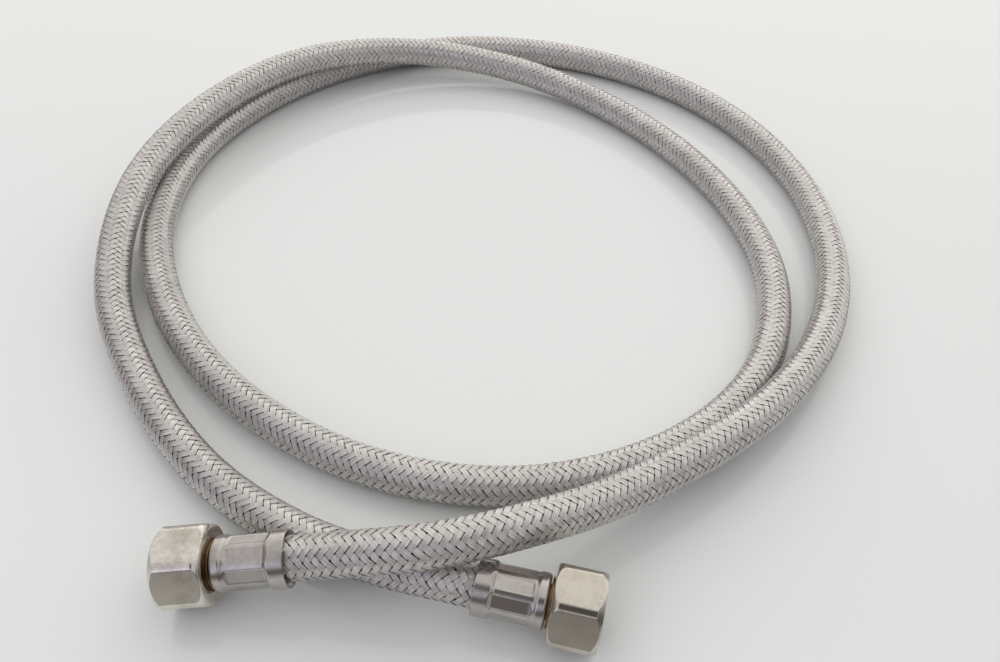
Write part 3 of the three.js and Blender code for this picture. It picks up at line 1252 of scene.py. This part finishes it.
@dataclass
class Braid:
    """The woven sleeve: twelve bands each way, laid two over and two under.

    Where a right-hand band and a left-hand band cross, both are at the same crossing's number
    round the hose, and that number alone says which band is on top.

    Attributes:
        line: the hose's middle line.
        sizes: the hose's sizes.
        bands_each_way: how many bands each lay has.
        repeat: the number of crossings after which the weave repeats.
        lay_tangent: how far a band goes round for each step along the hose.
        narrow: a band's width between two crossings, as a share of its spacing.
        wide: its width at a crossing.
        thickness: its thickness.
        swing: how far it rises and sinks from the sleeve's middle at a level of 1.
        tilt: the most that it leans to one side.
        waver: how much its width varies, as a share.
        stray: how far it strays sideways, in crossings.
        across: places of a section's four corners, from side to side.
        crown: whether each corner is on the band's back.
        gap_reach: how near the middle between two crossings a row has to be to be narrow.
        knots: places of a right-hand band's rows, in crossings; it is on top from -0.5 to 1.5.
        levels: the band's level at each row, from about -1 under to about 1 on top.
        sharp: the angle in degrees past which an edge stays sharp.
    """

    line: HoseLine
    sizes: HoseSizes
    bands_each_way: int = 12
    repeat: int = 4
    lay_tangent: float = 1.257
    narrow: float = 0.82
    wide: float = 0.95
    thickness: float = 0.21 * MM
    swing: float = 0.16 * MM
    tilt: float = 0.055
    waver: float = 0.02
    stray: float = 0.03
    across: tuple[float, ...] = (-0.5, -0.47, 0.47, 0.5)
    crown: tuple[float, ...] = (0.0, 1.0, 1.0, 0.0)
    gap_reach: float = 0.05
    knots: tuple[float, ...] = (-0.5, -0.28, 0.3, 0.5, 0.7, 1.28, 1.5, 1.72, 3.28)
    levels: tuple[float, ...] = (0.0, 0.52, 1.16, 1.22, 1.16, 0.52, 0.0, -0.9, -0.9)
    sharp: float = 40.0

    @property
    def pitch(self) -> float:
        """Distance along the hose from one crossing of a band to its next."""
        return math.pi * self.sizes.diameter / (2 * self.bands_each_way * self.lay_tangent)

    def build(self, lay: Lay, numbers: range, name: str) -> bpy.types.Object:
        """Makes a group of neighbouring bands of one lay.

        Args:
            lay: the way that the bands wind.
            numbers: which bands of that lay.
            name: the piece's name.

        Returns:
            The piece, a closed mesh for each band.
        """
        rows = self._rows(lay, numbers)
        mesh = bmesh.new()
        for _, places in rows:
            bmesh.ops.create_grid(mesh, x_segments=len(places) - 1,
                                  y_segments=len(self.across), size=1.0)
        data = bpy.data.meshes.new(name)
        mesh.to_mesh(data)
        self._lay_out(data, lay, rows)
        mesh.clear()
        mesh.from_mesh(data)
        bmesh.ops.remove_doubles(mesh, verts=mesh.verts, dist=0.001 * MM)
        ends = [edge for edge in mesh.edges if edge.is_boundary]
        bmesh.ops.holes_fill(mesh, edges=ends, sides=len(self.across))
        bmesh.ops.recalc_face_normals(mesh, faces=mesh.faces)
        mesh.to_mesh(data)
        mesh.free()
        piece = bpy.data.objects.new(name, data)
        bpy.context.scene.collection.objects.link(piece)
        data.shade_smooth()
        data.set_sharp_from_angle(angle=math.radians(self.sharp))
        return piece

    def _rows(self, lay: Lay, numbers: range) -> list[tuple[int, np.ndarray]]:
        """Spaces the rows of each band.

        Args:
            lay: the way that the bands wind.
            numbers: which bands of that lay.

        Returns:
            Each band's number and the places of its rows, in crossings round the hose.
        """
        hidden = self.sizes.hose_in_ferrule
        first = -hidden / self.pitch
        last = (self.line.length + hidden) / self.pitch
        knots = np.array(self.knots) + (self.repeat / 2 if lay is Lay.LEFT else 0.0)
        rows = []
        for number in numbers:
            low, high = first + 2 * number, last + 2 * number
            if lay is Lay.LEFT:
                low, high = 2 * number - last, 2 * number - first
            periods = np.arange(math.floor(low / self.repeat) - 1, math.ceil(high / self.repeat) + 2)
            places = (periods[:, None] * self.repeat + knots[None]).ravel()
            inside = places[(places > low) & (places < high)]
            rows.append((number, np.concatenate([[low], inside, [high]])))
        return rows

    def _level(self, places: np.ndarray) -> np.ndarray:
        """Which side of the sleeve's middle a right-hand band is on.

        Args:
            places: places along the band, in crossings.

        Returns:
            The level at each place, from -1 under to about 1 on top.
        """
        start = self.knots[0]
        knots = np.array([*self.knots, start + self.repeat])
        levels = np.array([*self.levels, self.levels[0]])
        return np.interp((places - start) % self.repeat + start, knots, levels)

    def _lay_out(self, data: bpy.types.Mesh, lay: Lay, rows: list[tuple[int, np.ndarray]]) -> None:
        """Wraps flat grids round the hose as closed bands and maps them.

        Args:
            data: a mesh of one grid for each band, in order.
            lay: the way that the bands wind.
            rows: each band's number and row places.
        """
        flat = np.empty(len(data.vertices) * 3)
        data.vertices.foreach_get("co", flat)
        flat = flat.reshape(-1, 3)
        columns = len(self.across) + 1
        placed, maps, depths, offset = [], [], [], 0
        step = math.pi / self.bands_each_way
        middle = self.sizes.radius - self.swing * max(self.levels) - self.thickness / 2
        middle -= self.tilt * self.wide / 2 * self.pitch
        for number, places in rows:
            count = len(places) * columns
            grid = flat[offset:offset + count]
            offset += count
            row = np.rint((grid[:, 0] + 1) / 2 * (len(places) - 1)).astype(int)
            column = np.rint((grid[:, 1] + 1) / 2 * (columns - 1)).astype(int)
            turn = places[row]
            between = np.abs((turn % 1.0) - 0.5) < self.gap_reach
            width = np.where(between, self.narrow, self.wide)
            ripple = np.sin(turn * 0.37 + number * 2.1) + np.sin(turn * 0.083 + number)
            width *= 1.0 + self.waver * ripple
            side = np.array(self.across)[column % len(self.across)] * width
            lift = np.array(self.crown)[column % len(self.across)] * self.thickness
            level = self._level(turn if lay is Lay.RIGHT else turn - self.repeat / 2)
            shift = self.stray * np.sin(turn * 0.21 + number * 1.7)
            if lay is Lay.RIGHT:
                along = (turn - 2 * number - side - shift) * self.pitch
            else:
                along = (2 * number + side + shift - turn) * self.pitch
            radius = middle + level * self.swing - self.thickness / 2 + lift
            stretch = np.floor((turn + 0.5) / (self.repeat / 2))
            radius += self.tilt * np.sin(stretch * 2.399 + number * 4.1) * side * self.pitch
            low, high = self.line.places[0], self.line.places[-1]
            angle = (turn + side + shift) * step
            placed.append(self.line.wrap(np.clip(along, low, high), angle, radius))
            spread = np.where(column < len(self.across), side / width + 0.5, 1.0)
            band_offset = 97.0 * number
            length = turn * self.pitch / MM * math.hypot(1.0, self.lay_tangent) + band_offset
            maps.append(np.stack([spread, length], axis=1))
            depths.append(0.5 - level / 2)
        data.vertices.foreach_set("co", np.concatenate(placed).ravel())
        # How deep each point of a band lies; the braid's material darkens the deep parts as painted
        # shade.
        depth = data.attributes.new("Depth", "FLOAT", "POINT")
        depth.data.foreach_set("value", np.concatenate(depths).astype(np.float32))
        layer = data.uv_layers.new(name="Lay")
        corner_points = np.empty(len(data.loops), dtype=np.int32)
        data.loops.foreach_get("vertex_index", corner_points)
        layer.data.foreach_set("uv", np.concatenate(maps)[corner_points].ravel())


@dataclass
class Liner:
    """The black rubber tube that shows between the bands."""

    line: HoseLine
    sizes: HoseSizes
    radius: float = 6.33 * MM
    spacing: float = 4.0 * MM

    def build(self) -> bpy.types.Object:
        """Makes the tube as a curve along the hose's line.

        Returns:
            The tube.
        """
        hidden = self.sizes.hose_in_ferrule
        curve = bpy.data.curves.new("rubber_tube", "CURVE")
        curve.dimensions = "3D"
        curve.bevel_depth = self.radius
        curve.bevel_resolution = 4
        curve.use_fill_caps = True
        total = self.line.length + 2 * hidden
        count = int(total / self.spacing) + 1
        places = np.linspace(-hidden, self.line.length + hidden, count)
        points = self.line.wrap(places, np.zeros(count), np.zeros(count))
        spline = curve.splines.new("POLY")
        spline.points.add(count - 1)
        spline.points.foreach_set("co", np.hstack([points, np.ones((count, 1))]).ravel())
        spline.use_smooth = True
        piece = bpy.data.objects.new("rubber_tube", curve)
        bpy.context.scene.collection.objects.link(piece)
        return piece


@dataclass(frozen=True)
class Patch:
    """A part of the room that is brighter or darker than the rest.

    Attributes:
        towards: the direction of its middle.
        outer: where it begins to show, as the cosine of the angle from its middle.
        inner: where it is at its full strength.
        shade: its colour.
        strength: its full strength.
    """

    towards: tuple[float, float, float]
    outer: float
    inner: float
    shade: tuple[float, float, float, float]
    strength: float = 1.0


@dataclass
class Studio:
    """The pale floor, the soft light and the camera.

    Attributes:
        frame_width: width of the picture in pixels.
        focal_pixels: the lens's focal length in those pixels.
        eye: where the camera is.
        gaze: where it looks.
        roll: how far it leans, in degrees.
        floor_size: length of the floor's sides.
        floor_shades: the floor's two tones.
        room: colours of the room in front, from straight below, 0, to straight above, 1.
        patches: the parts of the room that differ from it, each laid over those before it.
    """

    frame_width: float = 1000.0
    focal_pixels: float = 874.92
    eye: tuple[float, float, float] = (0.05227, -0.12235, 0.25411)
    gaze: tuple[float, float, float] = (-0.11741, 0.69739, -0.70700)
    roll: float = 4.14
    floor_size: float = 6.0
    floor_shades: tuple[Any, Any] = (colour(0.815, 0.84, 0.825), colour(0.845, 0.862, 0.852))
    room: tuple[tuple[float, Any], ...] = (
        (0.0, colour(0.10, 0.09, 0.08)),
        (0.50, colour(0.13, 0.115, 0.10)),
        (0.65, colour(0.16, 0.145, 0.135)),
        (0.74, colour(0.52, 0.505, 0.56)),
        (0.88, colour(0.68, 0.67, 0.69)),
        (1.0, colour(0.80, 0.795, 0.78)),
    )
    patches: tuple[Patch, ...] = (
        Patch((0.0, 1.0, 0.0), -0.15, 0.65, colour(0.98, 0.965, 0.93)),
        Patch((0.0, 1.0, 0.0), 0.5, 0.85, colour(1.28, 1.26, 1.21)),
        Patch((-1.0, 0.0, 0.0), -0.1, 0.9, colour(0.42, 0.41, 0.40), 0.14),
        Patch((0.03, -0.527, 0.849), 0.955, 0.99, colour(0.07, 0.065, 0.065)),
        Patch((-0.42, -0.80, 0.43), 0.93, 0.985, colour(0.90, 0.88, 1.10)),
    )

    def camera(self) -> None:
        """Sets the camera at the photograph's place and angle."""
        data = bpy.data.cameras.new("camera")
        data.sensor_width = 36.0
        data.lens = self.focal_pixels / self.frame_width * data.sensor_width
        data.clip_start = 0.01
        data.clip_end = 20.0
        gaze = Vector(self.gaze).normalized()
        right = gaze.cross(Vector((0.0, 0.0, 1.0))).normalized()
        up = right.cross(gaze)
        lean = math.radians(self.roll)
        tilted_right = right * math.cos(lean) + up * math.sin(lean)
        tilted_up = up * math.cos(lean) - right * math.sin(lean)
        turn = Matrix((tilted_right, tilted_up, -gaze)).transposed().to_4x4()
        camera = bpy.data.objects.new("camera", data)
        camera.matrix_world = Matrix.Translation(Vector(self.eye)) @ turn
        bpy.context.scene.collection.objects.link(camera)
        bpy.context.scene.camera = camera

    def floor(self) -> None:
        """Lays the floor."""
        mesh = bmesh.new()
        bmesh.ops.create_grid(mesh, x_segments=2, y_segments=2, size=self.floor_size / 2)
        data = bpy.data.meshes.new("floor")
        mesh.to_mesh(data)
        mesh.free()
        floor = bpy.data.objects.new("floor", data)
        bpy.context.scene.collection.objects.link(floor)
        material, graph, shader = empty_material("pale_floor")
        place = graph.add("ShaderNodeTexCoord").outputs["Object"]
        cloud = graph.noise(place, 3.0, 2.0)
        shade = graph.blend(cloud, *self.floor_shades)
        graph.tree.links.new(shade, shader.inputs["Base Color"])
        shader.inputs["Roughness"].default_value = 0.08
        shader.inputs["Specular IOR Level"].default_value = 0.5
        data.materials.append(material)

    def lamp(self, name: str, place: Sequence[float], aim: Sequence[float], size: Sequence[float],
             power: float, tint: Sequence[float]) -> None:
        """Hangs a soft rectangular lamp.

        Args:
            name: the lamp's name.
            place: where it hangs.
            aim: the point that it faces.
            size: its two sides.
            power: its power in watts.
            tint: its colour.
        """
        data = bpy.data.lights.new(name, "AREA")
        data.shape = "RECTANGLE"
        data.size, data.size_y = size
        data.energy = power
        data.color = tint
        lamp = bpy.data.objects.new(name, data)
        lamp.visible_glossy = False
        lamp.location = place
        facing = Vector(aim) - Vector(place)
        lamp.rotation_euler = facing.to_track_quat("-Z", "Y").to_euler()
        bpy.context.scene.collection.objects.link(lamp)

    def light(self) -> None:
        """Lights the scene with a soft lamp behind, a weaker one in front, and the room."""
        self.lamp("window", (-0.35, 1.55, 1.45), (0.0, 0.15, 0.0), (3.0, 2.0), 8.6, (1.0, 0.985, 0.96))
        self.lamp("fill", (-1.0, -0.8, 1.2), (-0.1, 0.1, 0.0), (2.0, 2.0), 4.6, (0.97, 1.0, 0.985))
        world = bpy.data.worlds.new("room")
        world.use_nodes = True
        world.node_tree.nodes.clear()
        graph = Graph(world.node_tree)
        facing = graph.add("ShaderNodeTexCoord").outputs["Generated"]
        parts = graph.add("ShaderNodeSeparateXYZ", {"Vector": facing})
        rise = graph.add("ShaderNodeValToRGB", {"Fac": graph.spread(parts.outputs[2], -1.0, 1.0)})
        stops = rise.color_ramp.elements
        stops[0].position, stops[0].color = self.room[0]
        stops[1].position, stops[1].color = self.room[-1]
        for position, shade in self.room[1:-1]:
            stop = stops.new(position)
            stop.color = shade
        room = rise.outputs[0]
        for patch in self.patches:
            angle = graph.add("ShaderNodeVectorMath", {0: facing, 1: patch.towards},
                              operation="DOT_PRODUCT").outputs["Value"]
            share = graph.spread(angle, patch.outer, patch.inner, 0.0, patch.strength)
            room = graph.blend(share, room, patch.shade)
        background = graph.add("ShaderNodeBackground", {"Color": room, "Strength": 1.0})
        graph.add("ShaderNodeOutputWorld", {"Surface": background.outputs[0]})
        bpy.context.scene.world = world
        bpy.context.scene.view_settings.view_transform = "Standard"


@dataclass
class SupplyHose:
    """The whole hose.

    Attributes:
        sizes: the driving sizes.
        tail: length of the middle line inside each ferrule.
        inlet_turn: turn of the inlet ferrule's panels about its axis, in degrees.
        outlet_turn: the same at the outlet.
    """

    sizes: HoseSizes = field(default_factory=HoseSizes)
    tail: float = 9.0 * MM
    inlet_turn: float = 26.0
    outlet_turn: float = 8.5

    def finishes(self) -> dict[str, bpy.types.Material]:
        """Makes every finish.

        Returns:
            The materials, by name.
        """
        effects = {"mottle": mottle_effect(), "pits": pits_effect(), "grain": grain_effect()}
        steel, stain = colour(0.53, 0.50, 0.475), colour(0.42, 0.39, 0.37)
        plate, tarnish = colour(0.63, 0.585, 0.52), colour(0.50, 0.46, 0.40)
        pale_plate = colour(0.80, 0.755, 0.68)
        made = [
            WovenWire(),
            Matt("rubber", colour(0.012, 0.012, 0.013), colour(0.03, 0.03, 0.032)),
            Matt("fibre", colour(0.02, 0.021, 0.024), colour(0.055, 0.057, 0.06), fleck=3200.0),
            Metal("steel", steel, stain, 0.17, 0.26, grain=0.003 * MM),
            Metal("nickel", plate, tarnish, 0.12, 0.20, pits=0.12, pit_depth=0.006 * MM),
            Metal("nickel_pitted", pale_plate, tarnish, 0.13, 0.21, pits=0.6, pit_depth=0.09 * MM,
                  pitted_turns=(-0.08, 0.08)),
            # Both brass colours are far darker than clean brass: painted shade of the dark gap between
            # the ferrule's nose and the nut, where the nipple's ring shows.
            Metal("brass", colour(0.33, 0.22, 0.10), colour(0.13, 0.08, 0.04), 0.34, 0.5),
        ]
        return {finish.name: finish.build(effects) for finish in made}

    def build(self) -> None:
        """Makes the hose and both of its ends."""
        line = HoseLine(ROUTE, self.tail)
        finishes = self.finishes()
        tube = Liner(line, self.sizes).build()
        tube.data.materials.append(finishes["rubber"])
        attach(tube, "hose")
        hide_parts("liner")
        report(tube)
        on_hose = self._weave(line, finishes["braid"])
        turn = math.radians
        Fitting("inlet", line.start, line.start_axis, turn(self.inlet_turn), self.sizes,
                "nickel_pitted").build(finishes)
        on_hose += Fitting("outlet", line.end, line.end_axis, turn(self.outlet_turn), self.sizes,
                           "nickel").build(finishes)

    def _weave(self, line: HoseLine, finish: bpy.types.Material) -> list[bpy.types.Object]:
        """Weaves the sleeve in four groups of six bands.

        Args:
            line: the hose's middle line.
            finish: the bands' material.

        Returns:
            The groups.
        """
        braid = Braid(line, self.sizes)
        groups = []
        for lay in Lay:
            for part, numbers in enumerate((range(0, 6), range(6, 12)), start=1):
                piece = braid.build(lay, numbers, f"bands_{lay.value}_{part}")
                piece.data.materials.append(finish)
                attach(piece, "hose")
                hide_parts("braid")
                report(piece)
                groups.append(piece)
        return groups


def report(piece: bpy.types.Object) -> None:
    """Logs a piece's name and fineness."""
    faces = len(piece.data.polygons) if piece.type == "MESH" else 0
    log.info("%s: %s, %d faces", piece.name, piece.type.lower(), faces)


def corners(bounds: Any) -> list[list[float]]:
    """A box's two corners as plain numbers."""
    low, high = bounds
    return [[float(value) for value in low], [float(value) for value in high]]


def main() -> None:
    """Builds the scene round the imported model."""
    logging.basicConfig(level=logging.INFO, format="%(name)s %(message)s")
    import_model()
    studio = Studio()
    studio.camera()
    studio.floor()
    studio.light()
    SupplyHose().build()


if __name__ == "__main__":
    main()
